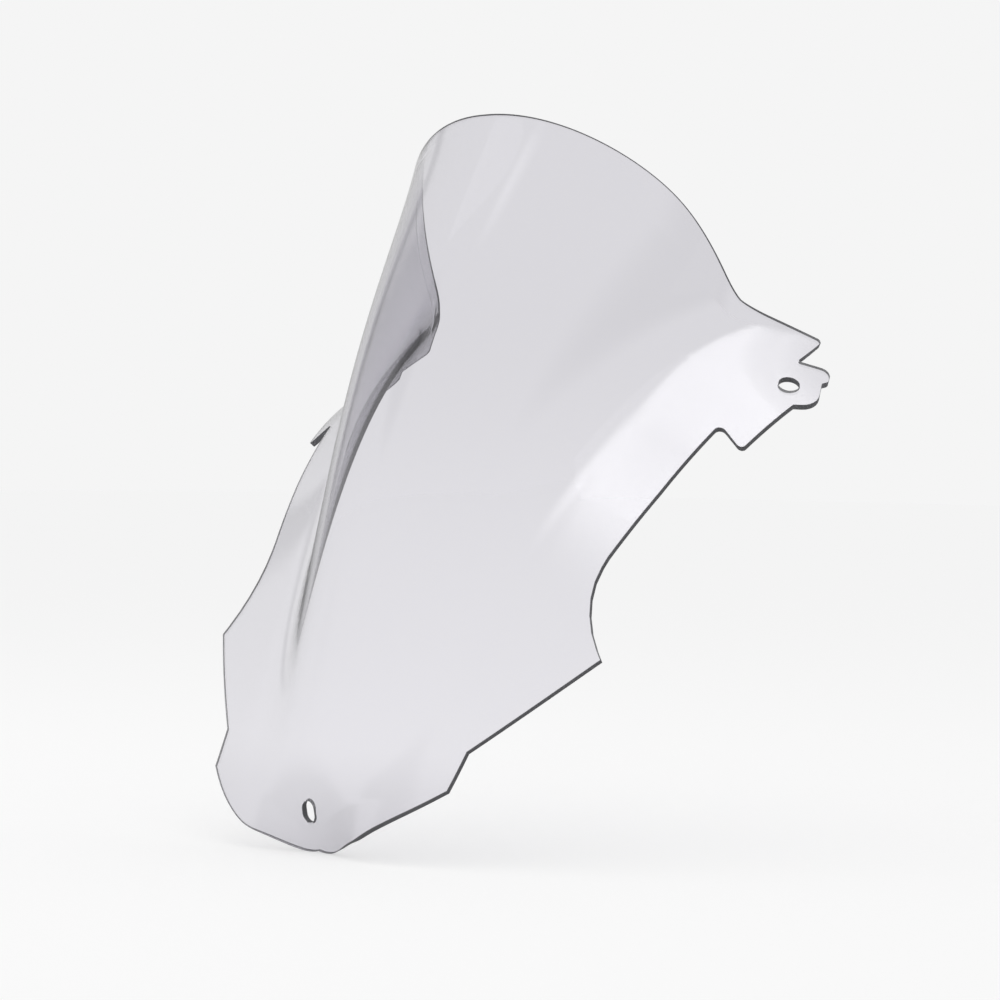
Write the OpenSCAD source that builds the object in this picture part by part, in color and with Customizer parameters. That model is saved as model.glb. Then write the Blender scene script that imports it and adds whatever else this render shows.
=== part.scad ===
// Race windshield screen: one thermoformed acrylic sheet with a central bubble,
// two side wings with mirror tabs, and a nose with a slot for the lower fastener.
//
// Frame: millimetres, +X to one side, -Y to the front (outer face), +Z up.
// The origin is the centre of the nose slot on the outer face.
//
// The sheet is described over a base plane that leans back 45 degrees. A place on
// it is [run, station]: station is the distance along the base plane up from the
// slot, run is the distance out from the centre line, measured on the sheet.

/* [Sheet] */
// Sheet thickness
sheet_t = 3.5; // [2:0.5:5]
// Columns of facets on each half of the sheet
columns = 21; // [10:1:21]
// Longest facet along the side outline
row_step = 12; // [12:1:40]
// Steps used to add up one cross-section
section_steps = 30; // [16:2:60]

/* [Centre profile] */
// Control heights of the sheet on the centre line over the base plane, slot to top edge
centre_rise = [12, 49, 148.5, 156.5, 186.5];
// Length over which the dip of the nose tongue fades up the sheet
dip_length = 11; // [8:0.5:14]
// Distance from the centre line over which the dip fades
dip_width = 31.5; // [26:0.5:38]

/* [Cross-section] */
// Angle the bubble side wall turns towards, nose to top edge
wall_angle = [30, 37.5, 76, 85, 87, 87, 80.5];
// Run in which that angle would be reached
wall_run = [103.5, 87, 116.5, 163, 192.5, 245];
// Run at which the hollow fold beside the bubble starts
fold_start = [20, 20, 65, 62.5, 84, 124.5, 194];
// Width of the hollow fold
fold_width = [45, 45, 45, 56, 83, 45, 45];
// Slope of the wing outside the fold
wing_angle = [10.5, 23, 12, 23.5, 21.5, 15.5, 50];

/* [Top edge] */
// Station of the top edge on the centre line
top_station = 378.2; // [370:0.2:384]
// Station of the straight top edge of each wing
wing_station = 362.1; // [357:0.1:366]
// Run of the shoulder between bubble and wing
shoulder_run = 197; // [190:1:200]

/* [Bottom edge] */
// Station of the bottom edge on the centre line
bottom_station = -10.3; // [-12:0.1:-8]
// Slope of the bottom edge at the nose corner
nose_slope = 0.89; // [0.85:0.01:0.93]

/* [Side outline] */
// Corners from the nose up: [run, station, rounding, spine station, inner station]
outline = [
    [95.5, 22.6, 0, -10.3, 13],
    [100.2, 45.7, 0, 12, 34],
    [166.9, 114, 0, 88, 108],
    [147.7, 139.6, 48, 132, 142],
    [159.3, 170.8, 0, 165, 182],
    [181.4, 216.7, 0, 216, 243],
    [205.6, 271.6, 4.2, 266, 309],
    [222.1, 258.6, 3.5, 286, 314],
    [243.8, 303.6, 0, 306, 319],
    [257.4, 309.6, 14, 316, 320.5],
    [256.2, 330, 1.5, 325, 321.3],
    [259.5, 333.6, 4, 331, 322.8],
    [259.5, 344.9, 5, 340, 324.8],
    [238.9, 340.6, 0.8, 350, 327.5],
    [251.4, 366.6, 2.2, 370, 348],
    [243.35, 365.9, 0, 377.4, 352],
];

/* [Mirror holes] */
// Diameter of the mirror holes
mirror_d = 12; // [6:0.5:14]
// Run of the mirror hole centres
mirror_run = 237.6; // [235:0.1:240]
// Station of the mirror hole centres
mirror_station = 318.8; // [316:0.1:322]

/* [Nose slot] */
// Width of the nose slot
slot_w = 9; // [5:0.5:10]
// Length of the nose slot
slot_l = 12.5; // [11:0.5:16]

/* [Hidden] */
$fn = 48;
skin = [0.80, 0.80, 0.83, 0.45];
station_min = -12;
station_max = 382;
knee = 0.8;
last_corner = outline[len(outline) - 1];

// Bezier value of a list of control numbers.
function blend(c, t) = len(c) == 1 ? c[0]
    : blend([for (i = [0 : len(c) - 2]) c[i] * (1 - t) + c[i + 1] * t], t);

function clamp01(t) = min(1, max(0, t));
function ease(t) = clamp01(t) * clamp01(t) * (3 - 2 * clamp01(t));
function soft_min(a, b, k) = (a + b - sqrt((a - b) * (a - b) + k * k)) / 2;
function soft_max(a, b, k) = (a + b + sqrt((a - b) * (a - b) + k * k)) / 2;
function total(v) = v * [for (i = v) 1];
function unit(v) = v / norm(v);

// Dip of the nose tongue under the plain sheet.
function dip(q, w) = centre_rise[0] * exp(-w / dip_length) * exp(-pow(q / dip_width, 2));

// Driving values of the cross-section at a station.
function section_at(w) = let (t = (w - station_min) / (station_max - station_min))
    [for (list = [wall_angle, wall_run, fold_start, fold_width, wing_angle]) blend(list, t)];

// Slope of the cross-section at run q, for the driving values s.
function slope(q, s) = s[0] * sin(90 * min(1, q / s[1])) - (s[0] - s[4]) * ease((q - s[2]) / s[3]);

// Point of the outer face at run q and station w, on the +X half.
function half_point(q, w) = let (
        s = section_at(w),
        dq = q / section_steps,
        angles = [for (k = [0 : section_steps - 1]) slope((k + 0.5) * dq, s)],
        x = dq * total([for (g = angles) cos(g)]),
        h = blend(centre_rise, w / 378) - dip(q, w) - dq * total([for (g = angles) sin(g)])
    ) [x, (w - h) / sqrt(2), (w + h) / sqrt(2)];

// The same on either half: a negative run is on the -X half.
function outer_point(q, w) = let (p = half_point(abs(q), w)) [sign(q) * p[0], p[1], p[2]];

// Unit normal of the outer face, pointing away from the sheet.
function outer_normal(q, w) = unit(cross(
    outer_point(q + 0.5, w) - outer_point(q - 0.5, w),
    outer_point(q, w + 0.5) - outer_point(q, w - 0.5)));

// Station of the bottom edge and of the top edge at a run.
function bottom_edge(q) = let (
        end = outline[0],
        d = end[0] - q
    ) q == end[0] ? end[1]
    : soft_max(bottom_station - 0.09 * q, end[1] - nose_slope * d + 0.0032 * d * d, 4.4);
function top_edge(q) = let (
        out = (q - shoulder_run) / (last_corner[0] - shoulder_run),
        wing = wing_station + (last_corner[1] - wing_station) * out,
        brow = wing_station + 1 + 0.313 * (shoulder_run - q)
    ) q == last_corner[0] ? last_corner[1]
    : soft_max(wing, soft_min(top_station + 0.018 * q, brow, 9), 0.4);

// Rounded corner k of the side outline as a list of [run, station, spine, inner].
function corner(k) = let (
        p = outline[k],
        last = len(outline) - 1
    ) k == 0 || k == last || p[2] == 0 ? [[p[0], p[1], p[3], p[4]]]
    : let (
        a = outline[k - 1],
        b = outline[k + 1],
        c = [p[0], p[1]],
        u = unit([a[0], a[1]] - c),
        v = unit([b[0], b[1]] - c),
        half = acos(u * v) / 2,
        back = p[2] / tan(half),
        centre = c + unit(u + v) * p[2] / sin(half),
        side = sign(cross([u[0], u[1], 0], [v[0], v[1], 0])[2]),
        sweep = 180 - 2 * half,
        start = c + u * back - centre,
        steps = max(2, ceil(sweep / 30)),
        la = norm([a[0], a[1]] - c),
        lb = norm([b[0], b[1]] - c)
    ) [for (i = [0 : steps]) let (
        g = -side * sweep * i / steps,
        f = 2 * i / steps - 1,
        m = f < 0 ? -f * back / la : f * back / lb,
        n = f < 0 ? a : b
    ) [
        centre[0] + start[0] * cos(g) - start[1] * sin(g),
        centre[1] + start[0] * sin(g) + start[1] * cos(g),
        p[3] + (n[3] - p[3]) * m,
        p[4] + (n[4] - p[4]) * m
    ]];

corners = [for (k = [0 : len(outline) - 1]) each corner(k)];

// Rows of the mesh: the corner points and even steps along the straight runs.
rows = [for (k = [0 : len(corners) - 1]) each k == len(corners) - 1 ? [corners[k]]
    : let (
        p = corners[k],
        n = corners[k + 1],
        reach = max(norm([n[0] - p[0], n[1] - p[1]]), n[2] - p[2]),
        parts = max(1, ceil(reach / row_step))
    ) [for (i = [0 : parts - 1]) p + (n - p) * i / parts]];

// Place [run, station] on row r at a fraction f of its run.
function place(r, f) = let (
        last = len(rows) - 1,
        p = rows[r],
        q = p[0] * f,
        w = f < knee ? p[2] + (p[3] - p[2]) * f / knee : p[3] + (p[1] - p[3]) * (f - knee) / (1 - knee)
    ) r == 0 ? [q, bottom_edge(q)]
    : r == last ? [q, top_edge(q)]
    : [q, w];

row_count = len(rows);
span = 2 * columns + 1;

module sheet() {
    places = [for (r = [0 : row_count - 1]) each [for (i = [-columns : columns])
        let (p = place(r, abs(i) / columns)) [sign(i) * p[0], p[1]]]];
    outer = [for (p = places) outer_point(p[0], p[1])];
    inner = [for (k = [0 : len(places) - 1])
        outer[k] - sheet_t * outer_normal(places[k][0], places[k][1])];
    count = len(outer);
    edge = concat(
        [for (i = [0 : span - 1]) i],
        [for (r = [1 : row_count - 1]) r * span + span - 1],
        [for (i = [span - 2 : -1 : 0]) (row_count - 1) * span + i],
        [for (r = [row_count - 2 : -1 : 1]) r * span]
    );
    faces = concat(
        [for (r = [0 : row_count - 2]) each [for (i = [0 : span - 2]) each let (k = r * span + i)
            i < columns
            ? [[k, k + span, k + 1], [k + 1, k + span, k + span + 1]]
            : [[k, k + span, k + span + 1], [k, k + span + 1, k + 1]]]],
        [for (r = [0 : row_count - 2]) each [for (i = [0 : span - 2]) each let (k = count + r * span + i)
            i < columns
            ? [[k, k + 1, k + span], [k + 1, k + span + 1, k + span]]
            : [[k, k + span + 1, k + span], [k, k + 1, k + span + 1]]]],
        [for (i = [0 : len(edge) - 1]) each let (a = edge[i], b = edge[(i + 1) % len(edge)])
            [[a, b, b + count], [a, b + count, a + count]]]
    );
    polyhedron(points = concat(outer, inner), faces = faces, convexity = 10);
}

// Puts its children at a place of the sheet with +Z along the outward normal.
module on_sheet(q, w) {
    n = outer_normal(q, w);
    translate(outer_point(q, w))
        rotate([0, acos(n[2]), atan2(n[1], n[0])])
            children();
}

module mirror_hole(side) {
    on_sheet(side * mirror_run, mirror_station)
        translate([0, 0, -sheet_t - 4])
            cylinder(d = mirror_d, h = sheet_t + 8);
}

module nose_slot() {
    n = outer_normal(0, 0);
    reach = (slot_l - slot_w) / 2;
    rotate([atan2(n[2], -n[1]) * -1, 0, 0])
        rotate([90, 0, 0]) {
            for (s = [-1, 1])
                translate([0, s * reach, -sheet_t - 4])
                    cylinder(d = slot_w, h = sheet_t + 8);
            translate([-slot_w / 2, -reach, -sheet_t - 4])
                cube([slot_w, 2 * reach, sheet_t + 8]);
        }
}

module screen() {
    color(skin)
        difference() {
            sheet();
            mirror_hole(1);
            mirror_hole(-1);
            nose_slot();
        }
}

screen();
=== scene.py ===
"""Clear race windshield screen on a pale studio floor.

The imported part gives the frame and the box. The sheet is built again from the
same formulas on a fine grid, with polished edges, and stands for the CAD node.
"""

import math

import bmesh
import bpy
import numpy as np
from mathutils import Matrix, Vector


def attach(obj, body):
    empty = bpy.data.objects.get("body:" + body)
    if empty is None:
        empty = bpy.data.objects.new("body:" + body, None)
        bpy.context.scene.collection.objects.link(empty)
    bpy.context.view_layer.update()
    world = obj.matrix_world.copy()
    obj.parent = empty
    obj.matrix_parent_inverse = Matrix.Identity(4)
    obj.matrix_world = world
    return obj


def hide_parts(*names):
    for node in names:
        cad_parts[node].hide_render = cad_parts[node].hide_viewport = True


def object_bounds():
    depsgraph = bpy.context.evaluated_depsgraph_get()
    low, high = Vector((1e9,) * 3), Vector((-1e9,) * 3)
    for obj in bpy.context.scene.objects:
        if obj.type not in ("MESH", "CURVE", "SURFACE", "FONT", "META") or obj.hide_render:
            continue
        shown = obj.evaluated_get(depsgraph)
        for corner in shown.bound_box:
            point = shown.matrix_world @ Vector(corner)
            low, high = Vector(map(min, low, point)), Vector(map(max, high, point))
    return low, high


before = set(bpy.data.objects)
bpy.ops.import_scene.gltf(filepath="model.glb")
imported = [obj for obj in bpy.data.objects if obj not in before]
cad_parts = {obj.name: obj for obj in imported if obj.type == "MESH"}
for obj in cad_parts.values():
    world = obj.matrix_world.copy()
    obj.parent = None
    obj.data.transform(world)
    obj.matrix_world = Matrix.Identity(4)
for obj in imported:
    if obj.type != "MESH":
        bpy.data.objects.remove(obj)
cad_box = [list(corner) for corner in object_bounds()]

MM = 0.001

# ---------------------------------------------------------------- sheet shape
SHEET_T = 3.5
CENTRE_RISE = [12, 49, 148.5, 156.5, 186.5]
DIP_LENGTH, DIP_WIDTH = 11, 31.5
WALL_ANGLE = [30, 37.5, 76, 85, 87, 87, 80.5]
WALL_RUN = [103.5, 87, 116.5, 163, 192.5, 245]
FOLD_START = [20, 20, 65, 62.5, 84, 124.5, 194]
FOLD_WIDTH = [45, 45, 45, 56, 83, 45, 45]
WING_ANGLE = [10.5, 23, 12, 23.5, 21.5, 15.5, 50]
TOP_STATION, WING_STATION, SHOULDER_RUN = 378.2, 362.1, 197
BOTTOM_STATION, NOSE_SLOPE = -10.3, 0.89
STATION_MIN, STATION_MAX = -12, 382
# side outline from the nose up: run, station, rounding, spine station, inner station
OUTLINE = [
    (95.5, 22.6, 0, -10.3, 13), (100.2, 45.7, 0, 12, 34),
    (166.9, 114, 0, 88, 108), (147.7, 139.6, 48, 132, 142),
    (159.3, 170.8, 0, 165, 182), (181.4, 216.7, 0, 216, 243),
    (205.6, 271.6, 4.2, 266, 309), (222.1, 258.6, 3.5, 286, 314),
    (243.8, 303.6, 0, 306, 319), (257.4, 309.6, 14, 316, 320.5),
    (256.2, 330, 1.5, 325, 321.3), (259.5, 333.6, 4, 331, 322.8),
    (259.5, 344.9, 5, 340, 324.8), (238.9, 340.6, 0.8, 350, 327.5),
    (251.4, 366.6, 2.2, 370, 348), (243.35, 365.9, 0, 377.4, 352),
]
KNEE = 0.8             # fraction of the run where a row turns to its outline point
MIRROR_D, MIRROR_RUN, MIRROR_STATION = 12, 237.6, 318.8
SLOT_W, SLOT_L = 9, 12.5

COLUMNS = 105   # facets on each half, across
ROW_STEP = 3.0
SECTION_STEPS = 60
ARC_STEP = 12          # degrees of a rounded corner per row
EDGE_ROUND = 0.25      # edge radius, mm
EDGE_STEPS = 4
HOLE_STEPS = 96        # facets round a hole
HOLE_FLARE = 0.9       # how far a hole tool reaches past each face, mm
NORMAL_STEP = 0.25     # half step of the slopes that give the normals, mm


def blend(controls, t):
    c = [np.full(np.shape(t), float(v)) for v in controls]
    while len(c) > 1:
        c = [a * (1 - t) + b * t for a, b in zip(c, c[1:])]
    return c[0]


def ease(t):
    t = np.clip(t, 0, 1)
    return t * t * (3 - 2 * t)


def soft_min(a, b, k):
    return (a + b - np.sqrt((a - b) ** 2 + k * k)) / 2


def soft_max(a, b, k):
    return (a + b + np.sqrt((a - b) ** 2 + k * k)) / 2


def outer_point(run, station):
    """Points of the outer face, in mm, for arrays of run and station."""
    q, w = np.abs(run), np.asarray(station, float)
    t = (w - STATION_MIN) / (STATION_MAX - STATION_MIN)
    wall, wall_run = blend(WALL_ANGLE, t), blend(WALL_RUN, t)
    start, width, wing = blend(FOLD_START, t), blend(FOLD_WIDTH, t), blend(WING_ANGLE, t)
    dq = q / SECTION_STEPS
    x = np.zeros_like(q)
    drop = np.zeros_like(q)
    for k in range(SECTION_STEPS):
        s = (k + 0.5) * dq
        slope = wall * np.sin(np.pi / 2 * np.minimum(1, s / wall_run))
        slope = np.radians(slope - (wall - wing) * ease((s - start) / width))
        x += np.cos(slope) * dq
        drop += np.sin(slope) * dq
    dip = CENTRE_RISE[0] * np.exp(-w / DIP_LENGTH) * np.exp(-(q / DIP_WIDTH) ** 2)
    h = blend(CENTRE_RISE, w / 378) - dip - drop
    return np.stack([np.sign(run) * x, (w - h) / math.sqrt(2), (w + h) / math.sqrt(2)], -1)


def outer_normal(run, station):
    d = NORMAL_STEP
    n = np.cross(outer_point(run + d, station) - outer_point(run - d, station),
                 outer_point(run, station + d) - outer_point(run, station - d))
    return n / np.linalg.norm(n, axis=-1, keepdims=True)


def bottom_edge(q):
    end_q, end_w = OUTLINE[0][:2]
    d = end_q - q
    w = soft_max(BOTTOM_STATION - 0.09 * q, end_w - NOSE_SLOPE * d + 0.0032 * d * d, 4.4)
    return np.where(q >= end_q - 1e-6, end_w, w)


def top_edge(q):
    end_q, end_w = OUTLINE[-1][:2]
    wing = WING_STATION + (end_w - WING_STATION) * (q - SHOULDER_RUN) / (end_q - SHOULDER_RUN)
    brow = WING_STATION + 1 + 0.313 * (SHOULDER_RUN - q)
    w = soft_max(wing, soft_min(TOP_STATION + 0.018 * q, brow, 9), 0.4)
    return np.where(q >= end_q - 1e-6, end_w, w)


def corner(k):
    """Rows [run, station, spine, inner] round corner k of the side outline."""
    p = OUTLINE[k]
    if p[2] == 0:
        return [(p[0], p[1], p[3], p[4])]
    c = Vector(p[:2])
    before, after = OUTLINE[k - 1], OUTLINE[k + 1]
    to_before, to_after = Vector(before[:2]) - c, Vector(after[:2]) - c
    u, v = to_before.normalized(), to_after.normalized()
    half = math.acos(u.dot(v)) / 2
    back = p[2] / math.tan(half)
    centre = c + (u + v).normalized() * p[2] / math.sin(half)
    sweep = math.pi - 2 * half
    start = c + u * back - centre
    turn = -math.copysign(sweep, u.x * v.y - u.y * v.x)
    steps = max(4, math.ceil(math.degrees(sweep) / ARC_STEP))
    made = []
    for i in range(steps + 1):
        g, f = turn * i / steps, 2 * i / steps - 1
        other, length = (before, to_before.length) if f < 0 else (after, to_after.length)
        m = abs(f) * back / length
        made.append((
            centre.x + start.x * math.cos(g) - start.y * math.sin(g),
            centre.y + start.x * math.sin(g) + start.y * math.cos(g),
            p[3] + (other[3] - p[3]) * m,
            p[4] + (other[4] - p[4]) * m,
        ))
    return made


def make_rows():
    corners = [np.array(c) for k in range(len(OUTLINE)) for c in corner(k)]
    rows = []
    for p, n in zip(corners, corners[1:]):
        reach = max(math.hypot(n[0] - p[0], n[1] - p[1]), n[2] - p[2])
        parts = max(1, math.ceil(reach / ROW_STEP))
        rows += [p + (n - p) * i / parts for i in range(parts)]
    return np.array(rows + [corners[-1]])


def sheet_places():
    """Run and station of every grid place, rows by columns."""
    rows = make_rows()
    f = np.arange(-COLUMNS, COLUMNS + 1) / COLUMNS
    a = np.abs(f)[None, :]
    q = rows[:, :1] * a
    low = rows[:, 2:3] + (rows[:, 3:4] - rows[:, 2:3]) * a / KNEE
    high = rows[:, 3:4] + (rows[:, 1:2] - rows[:, 3:4]) * (a - KNEE) / (1 - KNEE)
    w = np.where(a < KNEE, low, high)
    w[0] = bottom_edge(q[0])
    w[-1] = top_edge(q[-1])
    return q * np.sign(f)[None, :], w


def make_object(name, points, faces, is_edge):
    """An object in metres from points in mm; is_edge says which faces are cut edges."""
    mesh = bpy.data.meshes.new(name)
    mesh.from_pydata((points * MM).tolist(), [], faces)
    mesh.attributes.new("cut_edge", "FLOAT", "FACE").data.foreach_set("value", is_edge)
    bm = bmesh.new()
    bm.from_mesh(mesh)
    bmesh.ops.recalc_face_normals(bm, faces=bm.faces)
    bm.to_mesh(mesh)
    bm.free()
    made = bpy.data.objects.new(name, mesh)
    bpy.context.scene.collection.objects.link(made)
    return made


def edge_profile():
    """Offset outwards and depth of each step of a rounded edge, from the outer face down."""
    turns = [math.pi / 2 * k / EDGE_STEPS for k in range(EDGE_STEPS + 1)]
    return [(EDGE_ROUND * (math.sin(g) - 1), EDGE_ROUND * (1 - math.cos(g))) for g in turns]


def build_sheet():
    """The closed sheet with a rounded rim."""
    run, station = sheet_places()
    nr, nc = run.shape
    outer = outer_point(run, station)
    normal = outer_normal(run, station)
    ring = ([(0, c) for c in range(nc)] + [(r, nc - 1) for r in range(1, nr)]
            + [(nr - 1, c) for c in range(nc - 2, -1, -1)] + [(r, 0) for r in range(nr - 2, 0, -1)])
    rr, cc = np.array(ring).T
    rim, rim_n = outer[rr, cc], normal[rr, cc]
    along = np.roll(rim, -1, 0) - rim
    along /= np.linalg.norm(along, axis=1, keepdims=True)
    along = along + np.roll(along, 1, 0)
    away = np.cross(along, rim_n)
    away /= np.linalg.norm(away, axis=1, keepdims=True)
    if np.sum(away[: nc] * (rim[: nc] - outer[1, :])) < 0:
        away = -away
    outer[rr, cc] -= EDGE_ROUND * away
    inner = outer - SHEET_T * normal
    points = [outer.reshape(-1, 3), inner.reshape(-1, 3)]
    count = nr * nc
    profile = edge_profile()[1:]
    profile += [(out, SHEET_T - deep) for out, deep in reversed(profile)]
    loops = [np.array([r * nc + c for r, c in ring])]
    for out, deep in profile:
        start = sum(len(p) for p in points)
        points.append(rim + out * away - deep * rim_n)
        loops.append(start + np.arange(len(ring)))
    loops.append(loops[0] + count)
    k = (np.arange(nr - 1)[:, None] * nc + np.arange(nc - 1)[None, :]).ravel()
    faces = [np.stack([k, k + nc, k + nc + 1, k + 1], 1),
             np.stack([k, k + 1, k + nc + 1, k + nc], 1) + count]
    for a, b in zip(loops, loops[1:]):
        a2, b2 = np.roll(a, -1), np.roll(b, -1)
        faces.append(np.stack([a, a2, b2, b], 1))
    faces = np.concatenate(faces)
    is_edge = np.arange(len(faces)) >= 2 * len(k)
    return make_object("screen_sheet", np.concatenate(points), faces.tolist(), is_edge)


def cutter(name, run, station, width, length):
    """A hole tool with flared ends, so that the hole's rims come out rounded."""
    n = outer_normal(np.array([run]), np.array([station]))[0]
    at = outer_point(np.array([run]), np.array([station]))[0]
    up = outer_point(np.array([run]), np.array([station + 1.0]))[0] - at
    up -= n * np.dot(up, n)
    up /= np.linalg.norm(up)
    side = np.cross(up, n)
    reach, r = (length - width) / 2, width / 2
    above = [(HOLE_FLARE, EDGE_ROUND + HOLE_FLARE)] + edge_profile()[::-1]
    levels = above + [(-SHEET_T - height, grow) for height, grow in reversed(above)]
    points = []
    for height, grow in levels:
        for i in range(HOLE_STEPS):
            g = 2 * math.pi * (i + 0.5) / HOLE_STEPS
            end = reach * (1 if math.sin(g) > 0 else -1)
            points.append(at + n * height + side * math.cos(g) * (r + grow)
                          + up * (end + math.sin(g) * (r + grow)))
    last = (len(levels) - 1) * HOLE_STEPS
    faces = [tuple(range(HOLE_STEPS)), tuple(range(last, last + HOLE_STEPS))]
    for low in range(0, last, HOLE_STEPS):
        high = low + HOLE_STEPS
        for i in range(HOLE_STEPS):
            j = (i + 1) % HOLE_STEPS
            faces.append((low + i, low + j, high + j, high + i))
    return make_object(name, np.array(points), faces, np.ones(len(faces)))


def apply_modifiers(obj):
    graph = bpy.context.evaluated_depsgraph_get()
    mesh = bpy.data.meshes.new_from_object(obj.evaluated_get(graph))
    obj.modifiers.clear()
    obj.data = mesh


screen = build_sheet()
tools = [cutter("tool_a", MIRROR_RUN, MIRROR_STATION, MIRROR_D, MIRROR_D),
         cutter("tool_b", -MIRROR_RUN, MIRROR_STATION, MIRROR_D, MIRROR_D),
         cutter("tool_c", 0.0, 0.0, SLOT_W, SLOT_L)]
for tool in tools:
    hole = screen.modifiers.new(tool.name, "BOOLEAN")
    hole.operation, hole.solver, hole.object = "DIFFERENCE", "EXACT", tool
apply_modifiers(screen)
for tool in tools:
    bpy.data.objects.remove(tool)
screen.data.shade_smooth()
weighted = screen.modifiers.new("weighted", "WEIGHTED_NORMAL")
weighted.mode, weighted.weight = "FACE_AREA", 50
apply_modifiers(screen)


# ---------------------------------------------------------------- node helper
class Nodes:
    """Small helper that adds nodes and links them."""

    def __init__(self, tree):
        self.tree = tree

    def link(self, value, socket):
        if isinstance(value, bpy.types.NodeSocket):
            self.tree.links.new(value, socket)
        else:
            socket.default_value = value

    def math(self, operation, a, b=0.0):
        n = self.tree.nodes.new("ShaderNodeMath")
        n.operation = operation
        self.link(a, n.inputs[0])
        self.link(b, n.inputs[1])
        return n.outputs[0]

    def ramp(self, value, start, end, low=0.0, high=1.0):
        n = self.tree.nodes.new("ShaderNodeMapRange")
        n.interpolation_type = "SMOOTHSTEP"
        self.link(value, n.inputs["Value"])
        for name, v in (("From Min", start), ("From Max", end), ("To Min", low), ("To Max", high)):
            n.inputs[name].default_value = v
        return n.outputs["Result"]

    def mix(self, factor, first, second):
        n = self.tree.nodes.new("ShaderNodeMixShader")
        self.link(factor, n.inputs[0])
        self.link(first, n.inputs[1])
        self.link(second, n.inputs[2])
        return n.outputs[0]


# ---------------------------------------------------------------- material
TINT = (0.768, 0.758, 0.798)       # smoke tint of the sheet
LOW_TINT_PAINTED_LIGHT = (0.845, 0.835, 0.875)   # smoke tint made lighter low on the sheet: painted light, not a change in the acrylic
EDGE_PAINTED_SHADE = (0.14, 0.14, 0.15)     # painted shade on the cut edges, standing in for the dark they reflect from inside the sheet; it fades out towards the top rim
SHADOW_TINT = (0.82, 0.82, 0.83)   # what the sheet lets through to its shadow
ACRYLIC_IOR = 1.49
SHEET_ROUGHNESS, EDGE_ROUGHNESS = 0.015, 0.4


def acrylic():
    """Clear smoke sheet with painted light low down (a lighter tint) and painted shade on the cut
    edges below the top rim.
    """
    mat = bpy.data.materials.new("clear_acrylic")
    mat.use_nodes = True
    nt = mat.node_tree
    n = Nodes(nt)
    sheet = nt.nodes["Principled BSDF"]
    sheet.inputs["Roughness"].default_value = SHEET_ROUGHNESS
    sheet.inputs["IOR"].default_value = ACRYLIC_IOR
    sheet.inputs["Transmission Weight"].default_value = 1.0
    xyz = nt.nodes.new("ShaderNodeSeparateXYZ")
    nt.links.new(nt.nodes.new("ShaderNodeTexCoord").outputs["Object"], xyz.inputs[0])
    height = xyz.outputs[2]
    # painted light: the tint is lighter from about 0.04 m up, fading back to the plain tint by 0.28
    # m and at the nose
    low = n.math("MULTIPLY", n.ramp(height, 0.1, 0.28, 1, 0), n.ramp(height, 0.0, 0.04))
    # mixes the plain smoke tint with the painted-light tint
    tint = nt.nodes.new("ShaderNodeMix")
    tint.data_type = "RGBA"
    nt.links.new(low, tint.inputs[0])
    tint.inputs[6].default_value = (*TINT, 1)
    tint.inputs[7].default_value = (*LOW_TINT_PAINTED_LIGHT, 1)
    nt.links.new(tint.outputs[2], sheet.inputs["Base Color"])
    edge = nt.nodes.new("ShaderNodeBsdfPrincipled")
    edge.inputs["Base Color"].default_value = (*EDGE_PAINTED_SHADE, 1)
    edge.inputs["Roughness"].default_value = EDGE_ROUGHNESS
    edge.inputs["IOR"].default_value = ACRYLIC_IOR
    edge.inputs["Transmission Weight"].default_value = 0.5
    rim = nt.nodes.new("ShaderNodeAttribute")
    rim.attribute_name = "cut_edge"
    clear = nt.nodes.new("ShaderNodeBsdfTransparent")
    clear.inputs["Color"].default_value = (*SHADOW_TINT, 1)
    path = nt.nodes.new("ShaderNodeLightPath")
    # painted shade: the dark edge colour is full on the cut edges low down and drops to 0.15 of it
    # above about 0.36 m
    edge_shade_mask = n.math("MULTIPLY", rim.outputs["Fac"], n.ramp(height, 0.29, 0.36, 1, 0.15))
    solid = n.mix(edge_shade_mask, sheet.outputs[0], edge.outputs[0])
    nt.links.new(n.mix(path.outputs["Is Shadow Ray"], solid, clear.outputs[0]),
                 nt.nodes["Material Output"].inputs["Surface"])
    return mat


screen.data.materials.clear()
screen.data.materials.append(acrylic())
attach(screen, "root")
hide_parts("screen")

# ---------------------------------------------------------------- studio
FLOOR_Z = cad_box[0][2]
BACKDROP = 0.913       # radiance of the pale backdrop
FLOOR_SIZE = 14.0      # half side, m
FLOOR_GLOSS = 0.15     # level of the floor as the gloss shows it
PAPER = 0.54           # reflectance of the floor
PAPER_OWN = 0.45       # share of the backdrop's level that the floor has of its own
ROOM_LOW, ROOM_HIGH = 0.15, 0.9    # levels of the room in gloss, below and above the horizon
OVERHEAD = 2.9         # level of the overhead light in gloss
LAMP_WATTS = 4.0


def reflected(n):
    """1 for light that a glossy surface has reflected, else 0."""
    path = n.tree.nodes.new("ShaderNodeLightPath")
    return n.math("GREATER_THAN", path.outputs["Glossy Depth"], 0.5)


def floor_material():
    """Pale paper: most of its level is its own, so that shadows on it stay faint."""
    mat = bpy.data.materials.new("floor_paper")
    mat.use_nodes = True
    n = Nodes(mat.node_tree)
    b = mat.node_tree.nodes["Principled BSDF"]
    dim = mat.node_tree.nodes.new("ShaderNodeEmission")
    dim.inputs["Strength"].default_value = FLOOR_GLOSS
    n.link(n.mix(reflected(n), b.outputs[0], dim.outputs[0]),
           mat.node_tree.nodes["Material Output"].inputs["Surface"])
    b.inputs["Base Color"].default_value = (PAPER, PAPER, PAPER, 1)
    b.inputs["Roughness"].default_value = 0.9
    b.inputs["Specular IOR Level"].default_value = 0.0
    b.inputs["Emission Color"].default_value = (1, 1, 1, 1)
    b.inputs["Emission Strength"].default_value = BACKDROP * PAPER_OWN
    return mat


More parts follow.
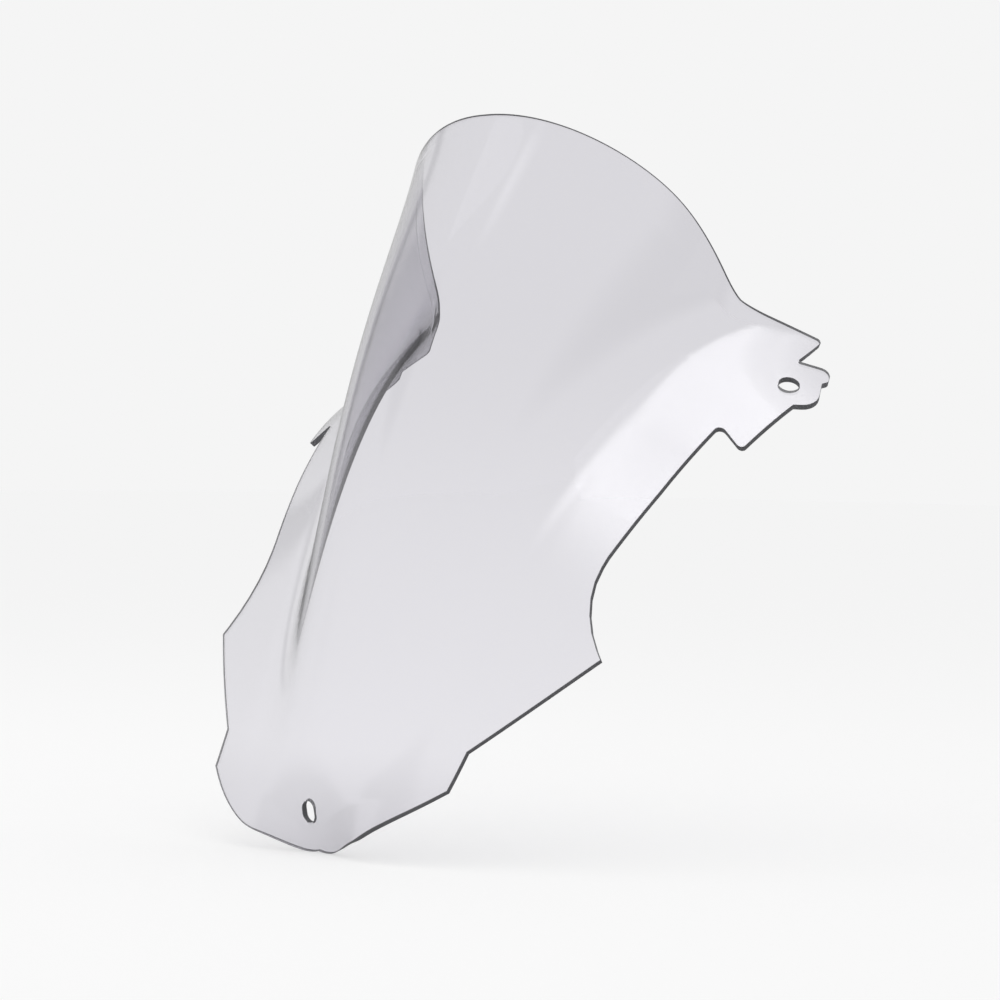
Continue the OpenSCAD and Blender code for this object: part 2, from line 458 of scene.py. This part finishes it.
def make_floor():
    size, z = FLOOR_SIZE, FLOOR_Z
    mesh = bpy.data.meshes.new("floor")
    mesh.from_pydata([(-size, -size, z), (size, -size, z), (size, size, z), (-size, size, z)],
                     [], [(0, 1, 2, 3)])
    mesh.materials.append(floor_material())
    made = bpy.data.objects.new("floor", mesh)
    bpy.context.scene.collection.objects.link(made)


make_floor()


def studio_world():
    """Plain pale surroundings; gloss sees a darker room with one large soft light overhead.

    Directions are in the frame's own axes: azimuth 0 is -Y and 90 is +X, elevation 90 is up.
    """
    world = bpy.data.worlds.new("studio")
    world.use_nodes = True
    nt = world.node_tree
    n = Nodes(nt)
    pale = nt.nodes["Background"]
    pale.inputs[0].default_value = (BACKDROP, BACKDROP, BACKDROP, 1)
    ray = nt.nodes.new("ShaderNodeTexCoord").outputs["Generated"]
    xyz = nt.nodes.new("ShaderNodeSeparateXYZ")
    nt.links.new(ray, xyz.inputs[0])
    x, y, z = xyz.outputs
    degrees = 180 / math.pi
    azimuth = n.math("MULTIPLY", n.math("ARCTAN2", x, n.math("MULTIPLY", y, -1.0)), degrees)
    elevation = n.math("MULTIPLY", n.math("ARCSINE", z), degrees)
    # plain room, dim below the horizon; ahead of the screen it dims from higher up
    ahead = n.ramp(azimuth, -80, -60, 0, 9)
    room = n.ramp(n.math("SUBTRACT", elevation, ahead), -7, 7, ROOM_LOW, ROOM_HIGH)
    # a dim column to the left, and dim patches behind and to the right
    column = n.math("MULTIPLY", n.ramp(y, 0.08, 0.15), n.ramp(y, 0.19, 0.25, 1, 0))
    column = n.math("MULTIPLY", column, n.ramp(elevation, 5, 8.5, 0, 0.48))
    room = n.math("MULTIPLY", room, n.math("SUBTRACT", 1.0, column))
    room = n.math("MULTIPLY", room, n.ramp(y, 0.92, 0.975, 1, 0.35))
    right = n.math("ADD", n.math("MULTIPLY", x, 0.9925), n.math("MULTIPLY", y, 0.122))
    room = n.math("MULTIPLY", room, n.ramp(right, 0.88, 0.995, 1, 0.4))
    # a soft dark flag in front, low and to the left
    flag = n.math("ADD", n.math("MULTIPLY", x, -0.50), n.math("MULTIPLY", y, -0.66))
    flag = n.math("ADD", flag, n.math("MULTIPLY", z, 0.56))
    room = n.math("MULTIPLY", room, n.ramp(flag, 0.982, 0.998, 1, 0.3))
    # large soft light overhead, on a plane where u points to +X and v to +Y; its side is slanted
    up = n.math("MAXIMUM", z, 0.05)
    u, v = n.math("DIVIDE", x, up), n.math("DIVIDE", y, up)
    side = n.math("SUBTRACT", u, n.ramp(v, -0.35, 0.08, -0.07, 0.25))
    box = n.math("MULTIPLY", n.ramp(side, -0.06, 0.11, 1, 0), n.ramp(v, -0.88, -0.58))
    box = n.math("MULTIPLY", box, n.ramp(v, 0.05, 0.5, 1, 0.15))
    box = n.math("MULTIPLY", box, n.ramp(u, -0.24, -0.13))
    box = n.math("MULTIPLY", box, n.ramp(z, 0.5, 0.65))
    room = n.math("ADD", room, n.math("MULTIPLY", box, OVERHEAD))
    gloss = nt.nodes.new("ShaderNodeBackground")
    nt.links.new(room, gloss.inputs["Strength"])
    n.link(n.mix(reflected(n), pale.outputs[0], gloss.outputs[0]),
           nt.nodes["World Output"].inputs["Surface"])
    bpy.context.scene.world = world


studio_world()

# the lamp lights the floor and gives the faint shadow
lamp = bpy.data.lights.new("softbox", "AREA")
lamp.shape, lamp.size, lamp.size_y = "RECTANGLE", 1.6, 1.2
lamp.energy = LAMP_WATTS
softbox = bpy.data.objects.new("softbox", lamp)
softbox.location = (-0.3, -0.25, 1.7)
softbox.visible_glossy = False
bpy.context.scene.collection.objects.link(softbox)
bpy.context.scene.view_settings.view_transform = "Standard"
bpy.context.scene.view_settings.look = "None"

# ---------------------------------------------------------------- camera
cam_data = bpy.data.cameras.new("camera")
cam_data.lens = 118.8
cam_data.sensor_width = 36
cam_data.clip_start, cam_data.clip_end = 0.05, 100
camera = bpy.data.objects.new("camera", cam_data)
bpy.context.scene.collection.objects.link(camera)
look = Vector((-0.68465236, 0.72876408, -0.01241229)).normalized()
right = Vector((0.72864435, 0.68476485, 0.01320984)).normalized()
up = right.cross(look)
camera.matrix_world = Matrix((
    (right.x, up.x, -look.x, 1.3307), (right.y, up.y, -look.y, -1.2641),
    (right.z, up.z, -look.z, 0.1976), (0, 0, 0, 1)))
bpy.context.scene.camera = camera
